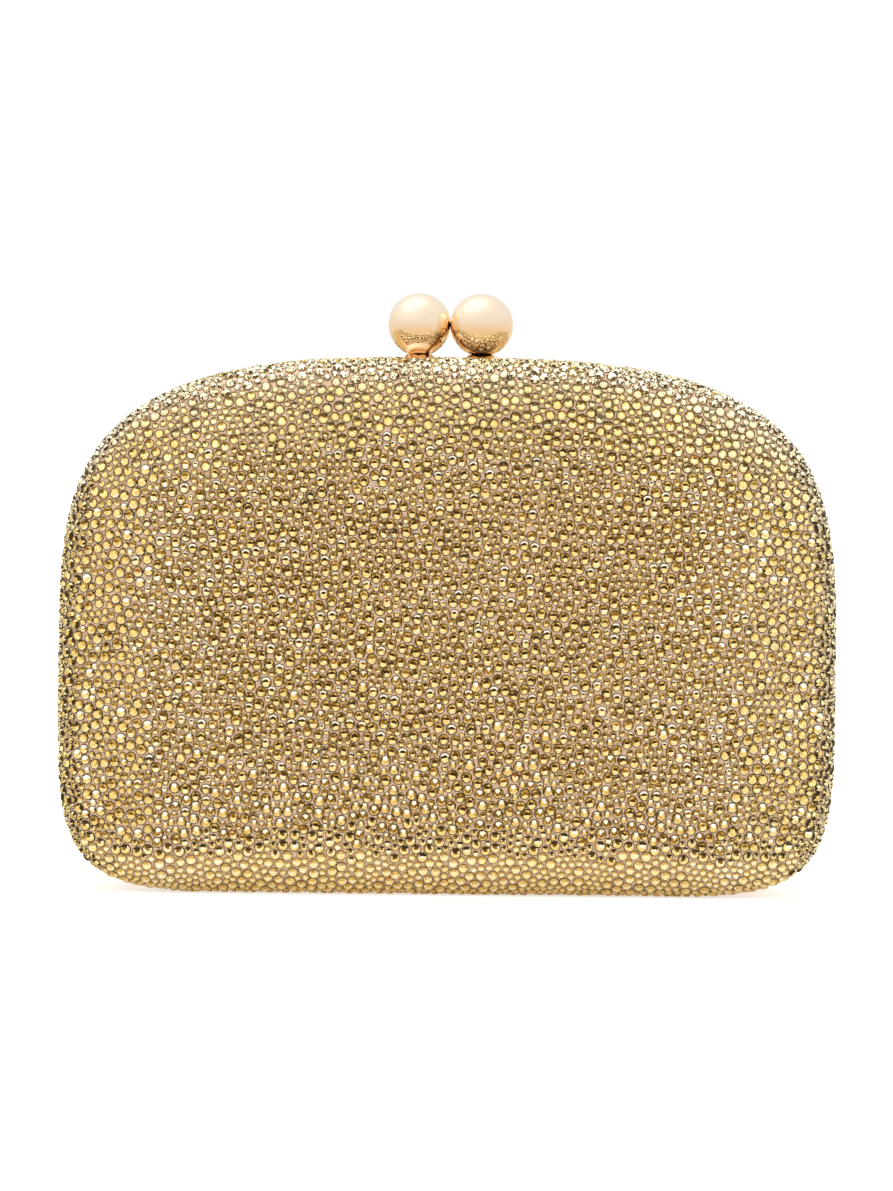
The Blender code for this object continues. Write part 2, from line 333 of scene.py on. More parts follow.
# Materials
def newMaterial(name, colour, roughness, metallic=0.0, **sockets):
    made = bpy.data.materials.new(name)
    made.use_nodes = True
    shader = made.node_tree.nodes["Principled BSDF"]
    shader.inputs["Base Color"].default_value = (*linear(colour), 1.0)
    shader.inputs["Roughness"].default_value = roughness
    shader.inputs["Metallic"].default_value = metallic
    for key, value in sockets.items():
        shader.inputs[key.replace("_", " ")].default_value = value
    made.diffuse_color = (*linear(colour), 1.0)
    return made, made.node_tree, shader


def linear(colour):
    # From the 0 to 255 numbers of a colour picker to Blender's own
    shares = [channel / 255 for channel in colour]
    return [c / 12.92 if c <= 0.04045 else ((c + 0.055) / 1.055) ** 2.4 for c in shares]


def addNode(tree, kind, inputs=None, **settings):
    # A node with its inputs, each of them a value or the socket that feeds it
    made = tree.nodes.new(kind)
    for key, value in settings.items():
        setattr(made, key, value)
    for key, value in (inputs or {}).items():
        if isinstance(value, bpy.types.NodeSocket):
            tree.links.new(value, made.inputs[key])
        else:
            made.inputs[key].default_value = value
    return made


def colourRamp(tree, factor, stops):
    # Stops are pairs of a place from 0 to 1 and a colour
    ramp = addNode(tree, "ShaderNodeValToRGB", {"Fac": factor})
    for index, (place, colour) in enumerate(stops):
        spot = ramp.color_ramp.elements[index] if index < 2 else ramp.color_ramp.elements.new(place)
        spot.position = place
        spot.color = (*linear(colour), 1.0)
    return ramp.outputs["Color"]


def noiseOn(tree, scale, detail=3.0, stretch=None):
    # Noise on object coordinates, its scale in features to the metre
    place = addNode(tree, "ShaderNodeTexCoord").outputs["Object"]
    if stretch:
        place = addNode(tree, "ShaderNodeMapping", {"Vector": place, "Scale": stretch}).outputs["Vector"]
    inputs = {"Vector": place, "Scale": scale, "Detail": detail}
    return addNode(tree, "ShaderNodeTexNoise", inputs).outputs["Fac"]


def tinted(tree, shader, pattern, *stops):
    tree.links.new(colourRamp(tree, pattern, stops), shader.inputs["Base Color"])


def bumped(tree, shader, height, distance, strength=1.0):
    bump = addNode(tree, "ShaderNodeBump", {"Height": height, "Distance": distance, "Strength": strength})
    tree.links.new(bump.outputs["Normal"], shader.inputs["Normal"])


def variedRoughness(tree, shader, pattern, low, high):
    spread = addNode(tree, "ShaderNodeMapRange", {"Value": pattern, "To Min": low, "To Max": high})
    tree.links.new(spread.outputs["Result"], shader.inputs["Roughness"])


stoneFinishAndPaintedLight = {
    "tones": [                   # from the darkest painted shade on a facet to the brightest painted highlight
        (0.00, (44, 28, 4)),
        (0.12, (86, 62, 10)),
        (0.28, (140, 104, 30)),
        (0.45, (186, 148, 70)),
        (0.60, (216, 182, 98)),
        (0.74, (240, 212, 128)),
        (0.88, (255, 238, 172)),
        (1.00, (255, 254, 244)),
    ],
    "greenTurn": 0.012,          # how far the hue turns at the bottom of the map
    "orangeTurn": 0.030,         # and at its top
    "greyness": 0.5,             # share of the colour left at the bottom of the map
    "greyUpTo": 0.25,            # height on the map from which all of it is left
    "roughness": 0.22,
    "metal": 0.25,
}


def stoneMaterial():
    # Foil-backed glass with its reflections painted: across the map runs a facet's tone, from painted shade
    # to painted highlight, and up it runs its hue
    made, tree, shader = newMaterial(
        "goldStone", (214, 180, 96), stoneFinishAndPaintedLight["roughness"], stoneFinishAndPaintedLight["metal"], Specular_IOR_Level=0.2
    )
    place = addNode(tree, "ShaderNodeUVMap", uv_map="OFBake").outputs["UV"]
    across, up, _ = addNode(tree, "ShaderNodeSeparateXYZ", {"Vector": place}).outputs
    tone = colourRamp(tree, across, stoneFinishAndPaintedLight["tones"])
    turns = {"To Min": 0.5 + stoneFinishAndPaintedLight["greenTurn"], "To Max": 0.5 - stoneFinishAndPaintedLight["orangeTurn"]}
    turn = addNode(tree, "ShaderNodeMapRange", {"Value": up, **turns}).outputs["Result"]
    shares = {"From Max": stoneFinishAndPaintedLight["greyUpTo"], "To Min": stoneFinishAndPaintedLight["greyness"]}
    share = addNode(tree, "ShaderNodeMapRange", {"Value": up, **shares}).outputs["Result"]
    hue = addNode(tree, "ShaderNodeHueSaturation", {"Hue": turn, "Saturation": share, "Color": tone})
    tree.links.new(hue.outputs["Color"], shader.inputs["Base Color"])
    return made


def suedeMaterial():
    # Short nap: soft blotches, a fine grain and a sheen
    made, tree, shader = newMaterial(
        "mauveSuede", (198, 168, 139), 0.9, Sheen_Weight=1.0, Sheen_Roughness=0.4
    )
    tinted(tree, shader, noiseOn(tree, 420, 5.0), (0.3, (186, 157, 129)), (0.7, (210, 180, 150)))
    bumped(tree, shader, noiseOn(tree, 6000, 2.0), 0.00006, 0.5)
    return made


def leatherMaterial():
    # Lining kid: pebbled grain with darker creases
    made, tree, shader = newMaterial("liningKid", (196, 164, 128), 0.55)
    tinted(tree, shader, noiseOn(tree, 60, 6.0), (0.3, (186, 152, 116)), (0.7, (205, 174, 138)))
    place = addNode(tree, "ShaderNodeTexCoord").outputs["Object"]
    inputs = {"Vector": place, "Scale": 1300.0}
    grain = addNode(tree, "ShaderNodeTexVoronoi", inputs, feature="DISTANCE_TO_EDGE")
    bumped(tree, shader, grain.outputs["Distance"], 0.0002, 0.5)
    variedRoughness(tree, shader, noiseOn(tree, 300), 0.48, 0.64)
    return made


def threadMaterial():
    # Waxed thread, paler than the kid, with its twist across
    made, tree, shader = newMaterial("waxedThread", (226, 204, 172), 0.5)
    tinted(tree, shader, noiseOn(tree, 2500, 1.0), (0.35, (212, 188, 154)), (0.65, (234, 214, 184)))
    return made


def shellMaterial():
    # Moulded shell: dark matt plastic with a fine spark-eroded texture
    made, tree, shader = newMaterial("mouldedShell", (62, 58, 54), 0.6)
    tinted(tree, shader, noiseOn(tree, 200), (0.3, (56, 52, 48)), (0.7, (68, 64, 60)))
    bumped(tree, shader, noiseOn(tree, 4000), 0.00005, 0.6)
    return made


def brassMaterial():
    # Plated frame: brushed along the ring, with faint rubbed patches
    made, tree, shader = newMaterial("platedBrass", (234, 196, 134), 0.24, 1.0)
    tinted(tree, shader, noiseOn(tree, 90, 4.0), (0.3, (228, 186, 122)), (0.7, (240, 206, 146)))
    variedRoughness(tree, shader, noiseOn(tree, 1500, 2.0, (1, 14, 1)), 0.16, 0.32)
    return made


def ballMaterial():
    # Mirror polish in a pale rose gold, with hairline polishing marks
    made, tree, shader = newMaterial("roseGold", (253, 231, 202), 0.08, 1.0)
    tinted(tree, shader, noiseOn(tree, 150, 2.0), (0.3, (252, 229, 199)), (0.7, (254, 233, 205)))
    variedRoughness(tree, shader, noiseOn(tree, 900, 4.0), 0.06, 0.11)
    return made


def steelMaterial():
    # Small fittings: satin, with fine turning marks
    made, tree, shader = newMaterial("platedSteel", (222, 205, 180), 0.3, 1.0)
    tinted(tree, shader, noiseOn(tree, 700), (0.3, (212, 194, 168)), (0.7, (230, 214, 190)))
    variedRoughness(tree, shader, noiseOn(tree, 3000, 2.0, (8, 1, 1)), 0.22, 0.4)
    return made


goldStone = stoneMaterial()
mauveSuede = suedeMaterial()
liningKid = leatherMaterial()
waxedThread = threadMaterial()
mouldedShell = shellMaterial()
platedBrass = brassMaterial()
roseGold = ballMaterial()
platedSteel = steelMaterial()
print("materials made")

# Suede covers, one to each half
suedeCover = {
    "under": 0.00075,            # the ground lies this far under the stones' tops
    "thickness": 0.00125,
    "cut": (0.212, 0.152),       # the piece of suede each was moulded from, its corners cut round
}


def makeSuede(half, side):
    shape, cover = bodyShape, suedeCover
    piece, surface = skin(
        f"{half}_suede", side, shape["columns"], shape["rows"], cover["under"], cover["thickness"]
    )
    finished(piece, mauveSuede, f"{half}_half", "crystal_suede", f"{half}_crystal_cover")
    return surface


frontGround = makeSuede("front", -1)
rearGround = makeSuede("rear", 1)
bpy.data.meshes.remove(rearGround)
print("suede covers made")

# Kiss-lock balls, whose feet the stones leave room for
kissLock = {
    "swell": 0.00014,            # added to each ball's radius, so that no slit shows between the two
    "footRadius": 0.0043,
    "footEdge": 0.00025,         # height of the foot's upright edge
    "footHeight": 0.0007,
    "footDrop": 0.0003,          # how far the foot's edge lies under the stones' tops
    "footSteps": 9,
    "footSides": 48,
    "segments": 96,              # of each ball, with the rings between its poles
    "rings": 64,
    "neckRadius": 0.0030,
    "flare": 1.6,                # how fast the foot draws in to its neck
    "studRadius": 0.0008,
}

# Stones
stones = {
    "seed": 11,
    "largeRadius": 0.00137,
    "smallRadius": 0.00095,
    "sizeSpread": 0.07,          # share by which stones of one size differ
    "largeShare": 0.44,          # of all stones
    "gap": 0.0,                  # between neighbours
    "coverage": 0.99,            # of the surface, the gaps between neighbours included
    "groupScale": 170.0,         # groups of one size to the metre
    "grouping": 1.6,             # how much stones of one size keep together, where 0 is not at all
    "rimGap": 0.00025,           # from the suede's edge to the first stones
    "footGap": 0.00015,          # left between the clasp's feet and the stones
    "footShare": 0.8,            # of a stone's radius that keeps clear of them
    "passes": 170,               # of pushing each other apart
    "push": 0.4,                 # share of an overlap that one pass takes away from each stone
    "earlySpread": 0.22,         # by how much more the stones push each other at first
    "spreadFade": 1.5,           # how fast that fades over the passes
    "lookAgain": 8,              # passes after which each stone's neighbours are looked up anew
    "neighbourReach": 1.45,      # how far off they are looked for, in widths of a large stone
    "askew": 0.2,                # how unevenly the stones are turned
    "fillRadius": 0.00054,       # of the smallest stones, which fill the holes left over
    "fillTries": 90000,
    "fillNeighbours": 5,         # stones that each try is measured from
    "largeHeight": 0.00082,
    "smallHeight": 0.00062,
    "sunkBy": 0.00004,           # into the suede, where the glue holds them
    "largeSides": 8,
    "smallSides": 7,
    "largeSeed": 5,              # of each size's turns and tones
    "smallSeed": 6,
    "lean": 0.1,                 # of a stone's own upward way towards the parting plane, where it faces up
    "girdle": 0.26,              # height of the edge round a stone, as a share of its height
    "taper": 0.79,               # how far that edge draws in
    "table": 0.50,               # width of the flat top, as a share of the stone's
    "crown": 0.88,               # how far up the slope ends, as a share of the height
    "mapSpot": 0.008,            # size of each facet on its map of tones and hues
}


def scatterOn(corners, faces, count, rng):
    # Random points, as thick on every part of the surface
    _, (a, b, c), across = trianglesOf(corners, faces)
    areas = np.linalg.norm(across, axis=1) / 2
    chosen = rng.choice(len(areas), size=count, p=areas / areas.sum())
    u, v = rng.random(count), rng.random(count)
    over = u + v > 1
    u[over], v[over] = 1 - u[over], 1 - v[over]
    a, b, c = a[chosen], b[chosen], c[chosen]
    return a + (b - a) * u[:, None] + (c - a) * v[:, None]


def treeOf(points):
    tree = KDTree(len(points))
    for index, point in enumerate(points):
        tree.insert(point, index)
    tree.balance()
    return tree


def neighbours(points, reach):
    # Every two points that lie within the reach of each other, by their numbers
    tree = treeOf(points)
    pairs = [
        (index, other)
        for index, point in enumerate(points)
        for _, other, _ in tree.find_range(point, reach)
        if other > index
    ]
    return np.array(pairs).T


def holeFillers(points, radii, spots, smallest, largest):
    # Stones for the holes between the others, the widest holes first
    tree, among = treeOf(points), stones["fillNeighbours"]
    room = np.array([
        min(distance - radii[index] for _, index, distance in tree.find_n(spot, among))
        for spot in spots.tolist()
    ])
    added, sizes = np.empty((0, 3)), np.empty(0)
    for index in np.argsort(-room):
        if room[index] < smallest:
            break
        size = min(room[index], largest)
        if len(added):
            size = min(size, np.min(np.linalg.norm(added - spots[index], axis=1) - sizes))
        if size >= smallest:
            added = np.vstack([added, spots[index]])
            sizes = np.append(sizes, size)
    return added, sizes


def steadySurface(side):
    # The ground again, with its faces sorted and its normals added up in that order. Otherwise both
    # differ a little from run to run, and that little grows until the stones lie elsewhere.
    piece = pillow("steady_ground", side, bodyShape["columns"], bodyShape["rows"])
    corners, _, faces, _ = surfaceOf(piece.data)
    bpy.data.objects.remove(piece)
    starts = [face.index(min(face)) for face in faces]
    faces = sorted(face[start:] + face[:start] for face, start in zip(faces, starts))
    numbers, _, across = trianglesOf(corners, faces)
    normals = np.stack(
        [np.bincount(numbers.ravel(), np.repeat(across[:, axis], 3), len(corners)) for axis in range(3)],
        axis=1,
    )
    corners = corners - unit(normals) * suedeCover["under"]
    return corners, faces, BVHTree.FromPolygons(corners.tolist(), faces)


def placeStones(side, mesh):
    # Stones of the two sizes start at random, and push each other apart until they lie evenly
    corners, faces, nearest = steadySurface(side)
    rng = np.random.default_rng(stones["seed"])
    large, small, gap = stones["largeRadius"], stones["smallRadius"], stones["gap"]
    share = stones["largeShare"]
    each = math.pi * (share * (large + gap / 2) ** 2 + (1 - share) * (small + gap / 2) ** 2)
    count = int(areaOf(mesh) * stones["coverage"] / each)
    points = scatterOn(corners, faces, count, rng)
    groups = np.array([noise.noise(Vector(point) * stones["groupScale"]) for point in points])
    wish = groups * stones["grouping"] + rng.normal(0, 1, count)
    isLarge = wish > np.quantile(wish, 1 - share)
    radii = np.where(isLarge, large, small) * (1 + stones["sizeSpread"] * rng.uniform(-1, 1, count))
    lowest = coverLow.y + stones["rimGap"] + radii
    for turn in range(stones["passes"]):
        extra = stones["earlySpread"] * max(0.0, 1 - stones["spreadFade"] * turn / stones["passes"])
        if turn % stones["lookAgain"] == 0:
            first, second = neighbours(points, (2 * large + gap) * stones["neighbourReach"])
        apart = points[second] - points[first]
        distance = np.linalg.norm(apart, axis=1) + 1e-12
        over = np.clip((radii[first] + radii[second] + gap) * (1 + extra) - distance, 0, None)
        push = apart / distance[:, None] * (over * stones["push"])[:, None]
        for axis in range(3):
            points[:, axis] += np.bincount(second, push[:, axis], count)
            points[:, axis] -= np.bincount(first, push[:, axis], count)
        points[:, 1] = side * np.maximum(side * points[:, 1], lowest)
        points = np.array([nearest.find_nearest(point)[0] for point in points.tolist()])
        points[:, 1] = side * np.maximum(side * points[:, 1], lowest)
    spots = scatterOn(corners, faces, stones["fillTries"], rng)
    spots = spots[side * spots[:, 1] > coverLow.y + stones["rimGap"] + small]
    added, sizes = holeFillers(points, radii + gap, spots, stones["fillRadius"], small)
    points, radii = np.vstack([points, added]), np.append(radii, sizes)
    isLarge = np.append(isLarge, np.zeros(len(sizes), dtype=bool))
    placed, facing = [], []
    corners, normals, faces, nearest = surfaceOf(mesh)
    for point in points.tolist():
        spot, _, face, _ = nearest.find_nearest(point)
        weights = poly_3d_calc([corners[k] for k in faces[face]], spot)
        facing.append(np.dot(weights, normals[list(faces[face])]))
        placed.append(spot)
    facing, placed = unit(np.array(facing)), np.array(placed)
    # None under the feet of the clasp
    kept = np.ones(len(points), dtype=bool)
    for name in ("left_ball_nut", "right_ball_nut"):
        nutLow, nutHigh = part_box(name)
        away = placed - np.array((nutLow + nutHigh) / 2)
        reach = kissLock["footRadius"] + stones["footGap"] + radii * stones["footShare"]
        kept &= (np.hypot(away[:, 0], away[:, 1]) > reach) | (away[:, 2] < 0)
    return placed[kept], facing[kept], radii[kept], isLarge[kept]


def stoneShape(name, sides):
    # One faceted flat-back stone, 1 in radius and in height, modelled lying on its back
    girdle, crown = stones["girdle"], stones["crown"]
    bpy.ops.mesh.primitive_cone_add(
        vertices=sides, radius1=1, radius2=stones["taper"], depth=girdle, location=(0, 0, girdle / 2)
    )
    piece = settled()
    upright = 0.9
    editingFaces(piece, lambda face: face.normal.z > upright)
    extruded(0, 0, crown - girdle)
    narrowing = stones["table"] / stones["taper"]
    scaled((narrowing, narrowing, 1), (0, 0, crown))
    bpy.ops.transform.rotate(value=math.pi / sides, orient_axis="Z", center_override=(0, 0, crown))
    bpy.ops.mesh.poke(offset=1 - crown)
    done()
    editingFaces(piece, lambda face: len(face.vertices) == 4 and face.center.z > girdle)
    bpy.ops.mesh.quads_convert_to_tris(quad_method="SHORTEST_DIAGONAL")
    done()
    shape = piece.data
    shape.name = name
    bpy.data.objects.remove(piece)
    return shape


# Painted light and shade in the stones' facets: painted reflections, highlights and shade, set by which way
# each stone faces. A tone runs from 0 for the darkest to 1 for white light.
facetLook = {
    "tones": {                   # each with its mean and how much it varies
        "dark": (0.01, 0.02),
        "brown": (0.20, 0.06),
        "dim": (0.40, 0.07),
        "gold": (0.64, 0.07),
        "pale": (0.89, 0.03),
    },
    # How far up a stone faces where each pattern of painted reflections starts, upwards and downwards from
    # the middle
    "archLevel": 0.17,
    "brightLevel": 0.55,
    "topLevel": 0.95,
    "sparkLevel": -0.01,
    "blobLevel": -0.04,
    "notchLevel": -0.19,
    "plainLevel": -0.31,
    "sideEdge": 0.15,            # and how far to a side
    "rimEdge": 0.55,
    "levelNoise": 0.03,          # how unevenly the patterns start
    "edgeNoise": 0.025,
    "hue": 0.34,
    "lowerHue": 0.05,            # added where a stone isn't turned up
    "strayHue": 0.92,            # of a few facets
    "edgeShadeHue": 0.14,              # of the painted shade round each stone
    # Painted shade of that edge, for the shadow between stone and suede, on stones at the top, on those near
    # the base, on those turned up, and elsewhere
    "edgeShadeTones": (0.22, 0.26, 0.17, 0.12),
}


def pick(*choices):
    # From conditions with their values, the first value whose condition holds, or else the last value
    *pairs, result = choices
    for condition, value in reversed(list(zip(pairs[::2], pairs[1::2]))):
        result = np.where(condition, value, result)
    return result


def facetTones(middles, up, aside, facing, rng):
    # The painted light on each facet of each stone, its painted reflections, highlights and shade, as a tone
    # and a hue from 0 to 1.
    # up and aside are the facet's directions round its stone, from -1 to 1.
    look = facetLook
    count, facets = len(facing), len(middles)
    isEdge = (middles[:, 2] < stones["girdle"])[None, :]
    isTable = (middles[:, 2] > stones["crown"])[None, :]
    level = (facing[:, 2] + rng.normal(0, look["levelNoise"], count))[:, None]
    edge = (np.abs(facing[:, 0]) + rng.normal(0, look["edgeNoise"], count))[:, None]
    tilt = np.hypot(facing[:, 0], facing[:, 2])[:, None] + 0.001
    outwards = (facing[:, 0][:, None] * aside + facing[:, 2][:, None] * up) / tilt
    wander = rng.normal(0, 1, (count, facets))
    chance = rng.random((count, facets))
    own = rng.normal(0, 1, (count, 1))
    luck, kind = rng.random((count, 1)), rng.random((count, 1))
    (least, more), *others = look["tones"].values()
    dark, white = least + more * np.abs(wander), 1.0
    brown, dim, gold, pale = (mean + spread * wander for mean, spread in others)
    # How far a stone faces aside, which lightens its painted shade and adds painted light towards the sides
    aslant = np.clip(edge - 0.02, 0, 0.12)
    shade = pick(luck < 0.80 - 2 * aslant, dark, brown)
    # Facing forwards, painted reflections: a dark slit across the middle, a painted highlight over it and a
    # pale painted crescent of reflected light below it
    cap = pick(kind < 0.13, white, chance < 0.35, gold, chance < 0.6, dim, brown)
    flank = pick(chance < 0.45, brown - 0.04, dim + 0.04)
    smile = pick(np.abs(aside) < 0.62, pale - 0.03, chance < 0.7, gold + 0.02, dim)
    forwards = pick(
        isTable & (up > -0.05 + 0.15 * own), shade, isTable, gold + 0.14,
        up < -0.3, smile, up > 0.4, cap, flank,
    )
    # Just below the middle: the painted dark slit is smaller, and more stones have a painted white highlight
    # over it
    sparkling = pick(
        isTable & (up > 0.05 + 0.2 * own), pick(luck < 0.6, dark, brown), isTable, gold + 0.14,
        up < -0.3, smile, up > 0.6, pick(kind < 0.3, white, cap), flank,
    )
    # Turned up: a plain table under a painted dark arc of shade
    arched = pick(
        isTable & (up > 0.30 + 0.2 * own), pick(luck < 0.75, brown, gold), isTable, gold + 0.08 - 0.06 * up,
        outwards > 0.45, shade, outwards < -0.3, pale - 0.12, chance < 0.45, brown, gold - 0.06,
    )
    # On the very top: painted shade, dull gold with dark strokes, which the balls mirror
    topped = pick(
        isTable & (chance < 0.5), dim, isTable & (luck < 0.5), pale, isTable, gold,
        chance < 0.5, brown - 0.14, chance < 0.7, dim, pale,
    )
    # Along the top: mostly painted white light, with short strokes of painted shade
    bright = pick(
        isTable & (luck < 0.25), 0.93, isTable & (chance < 0.25), brown, isTable, pale - 0.08,
        chance < 0.42, brown - 0.10, chance < 0.62, gold, pale,
    )
    # Turned a little down: a painted white highlight over the table, painted brown shade round it and a
    # golden chevron of painted reflection below
    blobbed = pick(
        kind >= 0.7, sparkling,
        isTable & (up > 0.75), 0.96, isTable & (luck < 0.4), brown + 0.08, isTable, gold,
        up < -0.35, gold + 0.14, up > 0.8, 0.96, chance < 0.4, brown, dim,
    )
    # Turned down: a painted dark notch at the top, on some a painted white highlight, and plainer still
    # along the base, with only the top facets painted darker
    notched = pick(
        isTable & (up > 0.4), pick(kind < 0.25, white, brown), isTable, gold + 0.15,
        up > 0.75, dark, (aside > 0.3) & (up > 0.2), pale, gold + 0.14,
    )
    plain = pick(isTable, pale - 0.02, up > 0.6, dim + 0.16, gold + 0.22)
    # Towards the sides: plain gold with a few facets of painted shade or painted white highlight, then
    # strong painted contrasts of light and shade at the edge
    sideways = pick(
        (up > 0.5) & (luck > 0.95 - 0.5 * np.clip(edge - 0.12, 0, 0.5)), white,
        isTable & (luck < 0.3), pick(up > 0.1, brown, gold), isTable, gold + 0.06,
        up < -0.2, pale - 0.02, chance < 0.22, dark, dim + 0.10,
    )
    rimmed = pick(isTable, gold - 0.08, chance < 0.58, dark, pale - 0.04)
    tone = pick(
        edge > look["rimEdge"], rimmed,
        level > look["topLevel"], topped,
        level > look["brightLevel"], bright,
        level > look["archLevel"], arched,
        level < look["plainLevel"], plain,
        level < look["notchLevel"], notched,
        edge > look["sideEdge"], sideways,
        level < look["blobLevel"], blobbed,
        level < look["sparkLevel"], sparkling,
        forwards,
    )
    hue = look["hue"] + look["lowerHue"] * (level < 0.1) + 0.08 * own + 0.06 * wander
    hue = pick((chance > 0.6) & (chance < 0.66), look["strayHue"], hue)
    # Paler towards the top and the right, where more of the white light comes from
    fading = np.clip(level - 0.12, 0, 0.45) * 1.7 + np.clip(edge - 0.4, 0, 0.4)
    fading = (fading + 0.35 * (facing[:, 0][:, None] > 0.15)) * pick(level < look["topLevel"], 1, 0.6)
    hue = hue * np.clip(1 - fading, 0.1, 1)
    # Painted light: a little brighter towards the sides, more so above the middle
    tone = tone + (0.6 + 0.3 * (level > 0.02)) * aslant * (edge < look["sideEdge"]) + 0.008
    # The edge round each stone: painted shade for the shadow where it meets the suede
    high, low, raised, other = look["edgeShadeTones"]
    rim = pick(level > 0.5, high, level < -0.3, low, level > look["archLevel"], raised, other)
    tone = pick(isEdge, rim + 0.04 * wander, tone) + 0.02 * own
    hue = pick(isEdge, look["edgeShadeHue"], hue)
    return np.clip(tone, 0.02, 0.98), np.clip(hue, 0.02, 0.98)


def setStones(name, side, shape, height, places, facing, radii, seed):
    # Sets the stone at every place, and gives each facet its tone of painted light
    rng = np.random.default_rng(seed)
    count = len(places)
    hint = np.stack([np.zeros(count), -side * stones["lean"] * facing[:, 2], np.ones(count)], axis=1)
    upwards = unit(hint - facing * np.sum(hint * facing, axis=1)[:, None])
    across = np.cross(upwards, facing)
    # A corner of the table points down, give or take a little
    overEdge = (stones["girdle"] + stones["crown"]) / 2
    rim = max((c.co for c in shape.vertices if c.co.z > overEdge), key=lambda place: place.xy.length)
    spin = -math.pi / 2 - math.atan2(rim.y, rim.x) + rng.normal(0, stones["askew"], count)
    cosine, sine = np.cos(spin)[:, None], np.sin(spin)[:, None]
    turns = np.stack([cosine * across + sine * upwards, cosine * upwards - sine * across, facing], axis=1)
    sizes = np.stack([radii, radii, np.full(count, height)], axis=1)
    piece = copied(name, shape, places - facing * stones["sunkBy"], turns, sizes)
    middles = np.array([face.center for face in shape.polygons])
    turned = np.arctan2(middles[:, 1], middles[:, 0])[None, :] + spin[:, None]
    tone, hue = facetTones(middles, np.sin(turned), np.cos(turned), facing, rng)
    # Each facet is a small polygon round its own tone and hue on the map
    corners = np.array([len(face.vertices) for face in shape.polygons])
    turn = np.concatenate([np.arange(size) / size * math.tau for size in corners])
    u = np.repeat(tone, corners, axis=1) + stones["mapSpot"] * np.cos(turn)[None, :]
    v = np.repeat(hue, corners, axis=1) + stones["mapSpot"] * np.sin(turn)[None, :]
    layer = piece.data.uv_layers.new(name="OFBake")
    layer.uv.foreach_set("vector", np.stack([u, v], axis=2).ravel())
    piece.data.shade_flat()
    return piece


def turnedRound(piece, name):
    # A copy turned half round about the upright axis, for the rear half
    copy = linked(piece.copy())
    copy.data = piece.data.copy()
    copy.name = copy.data.name = name
    copy.rotation_euler = (0, 0, math.pi)
    active(copy)
    return settled()


def makeStones():
    places, facing, radii, isLarge = placeStones(-1, frontGround)
    print("stones placed:", int(isLarge.sum()), "large and", int((~isLarge).sum()), "small on each half")
    for word, chosen in (("large", isLarge), ("small", ~isLarge)):
        shape = stoneShape(f"{word}_stone", stones[f"{word}Sides"])
        height, seed = stones[f"{word}Height"], stones[f"{word}Seed"]
        where = (places[chosen], facing[chosen], radii[chosen])
        front = setStones(f"front_{word}_stones", -1, shape, height, *where, seed)
        rear = turnedRound(front, f"rear_{word}_stones")
        finished(front, goldStone, "front_half", "crystal_suede")
        finished(rear, goldStone, "rear_half", "crystal_suede")


makeStones()
bpy.data.meshes.remove(frontGround)
print("stones set")

# Kiss-lock balls
def makeBall(name, side):
    low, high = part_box(name)
    radius = (high.x - low.x) / 2
    middle = (low + high) / 2
    centre = Vector((middle.x, high.y - radius if side < 0 else low.y + radius, high.z - radius))
    radius += kissLock["swell"]
    nutLow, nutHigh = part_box(f"{name}_nut")
    stud = (nutLow + nutHigh) / 2
    footLow = coverHigh.z - kissLock["footDrop"]
    bpy.ops.mesh.primitive_uv_sphere_add(
        segments=kissLock["segments"], ring_count=kissLock["rings"], radius=radius, location=centre
    )
    piece = settled()
    piece.name = piece.data.name = f"{name}_polished"
    edge, neck, radiusNow = kissLock["footEdge"], kissLock["neckRadius"], kissLock["studRadius"]
    bpy.ops.mesh.primitive_circle_add(
        vertices=kissLock["footSides"], radius=radiusNow, fill_type="NGON", location=(stud.x, stud.y, low.z)
    )
    foot = settled()
    editing(foot)
    # Height, radius and lean of each step up the stud and the foot
    steps = [
        (footLow, radiusNow, 0.0),
        (footLow, kissLock["footRadius"] - edge, 0.0),
        (footLow + edge, kissLock["footRadius"], 0.0),
    ]
    for step in range(1, kissLock["footSteps"] + 1):
        share = step / kissLock["footSteps"]
        level = footLow + edge + kissLock["footHeight"] * share
        width = neck + (kissLock["footRadius"] - neck) * (1 - share) ** kissLock["flare"]
        steps.append((level, width, (centre.y - stud.y) * share))
    levelNow, leanNow = low.z, 0.0
    for level, width, lean in steps:
        extruded(0, lean - leanNow, level - levelNow)
        growth = width / radiusNow
        scaled((growth, growth, 1), (stud.x, stud.y + lean, level))
        levelNow, radiusNow, leanNow = level, width, lean
    done()
    tidied(foot)
    cutWith(piece, foot, "UNION")
    smoothed(piece, 30)
    finished(piece, roseGold, f"{name.split('_')[0]}_knob", "polished_gold", name)


makeBall("left_ball", -1)
makeBall("right_ball", 1)
print("kiss-lock made")

# Frames
frameRing = {
    "columns": 240,
    "innerEdge": 0.0070,         # of the band and the lip, under the stones' tops
    "lipThickness": 0.0010,
    "lipReach": 0.0029,
    "lipRoot": 0.0004,           # how far the lip runs into the band
    "edgeRounding": 0.00018,
    "grooveClearance": 0.0004,   # round the knuckles
    "holeClearance": 0.0002,     # round the rivets
    "holeSides": 24,
    "rebateDepth": 0.00135,      # let in for the hinge leaf, from the parting plane
    "overrun": 0.002,
}


def outlineBand(name, inset, near, far, thickness):
    # A ring along the outline, from near to far in depth, its outer face moved in by the inset
    ring = outlineRing(name, frameRing["columns"], inset, near)
    editing(ring)
    extruded(0, far - near, 0)
    done()
    outwards = sum(face.normal.z * (face.center.z - bodyShape["widestLevel"]) for face in ring.data.polygons)
    if outwards < 0:
        flipped(ring)
    applied(ring, "SOLIDIFY", thickness=thickness, offset=-1, use_even_offset=True)
    return ring


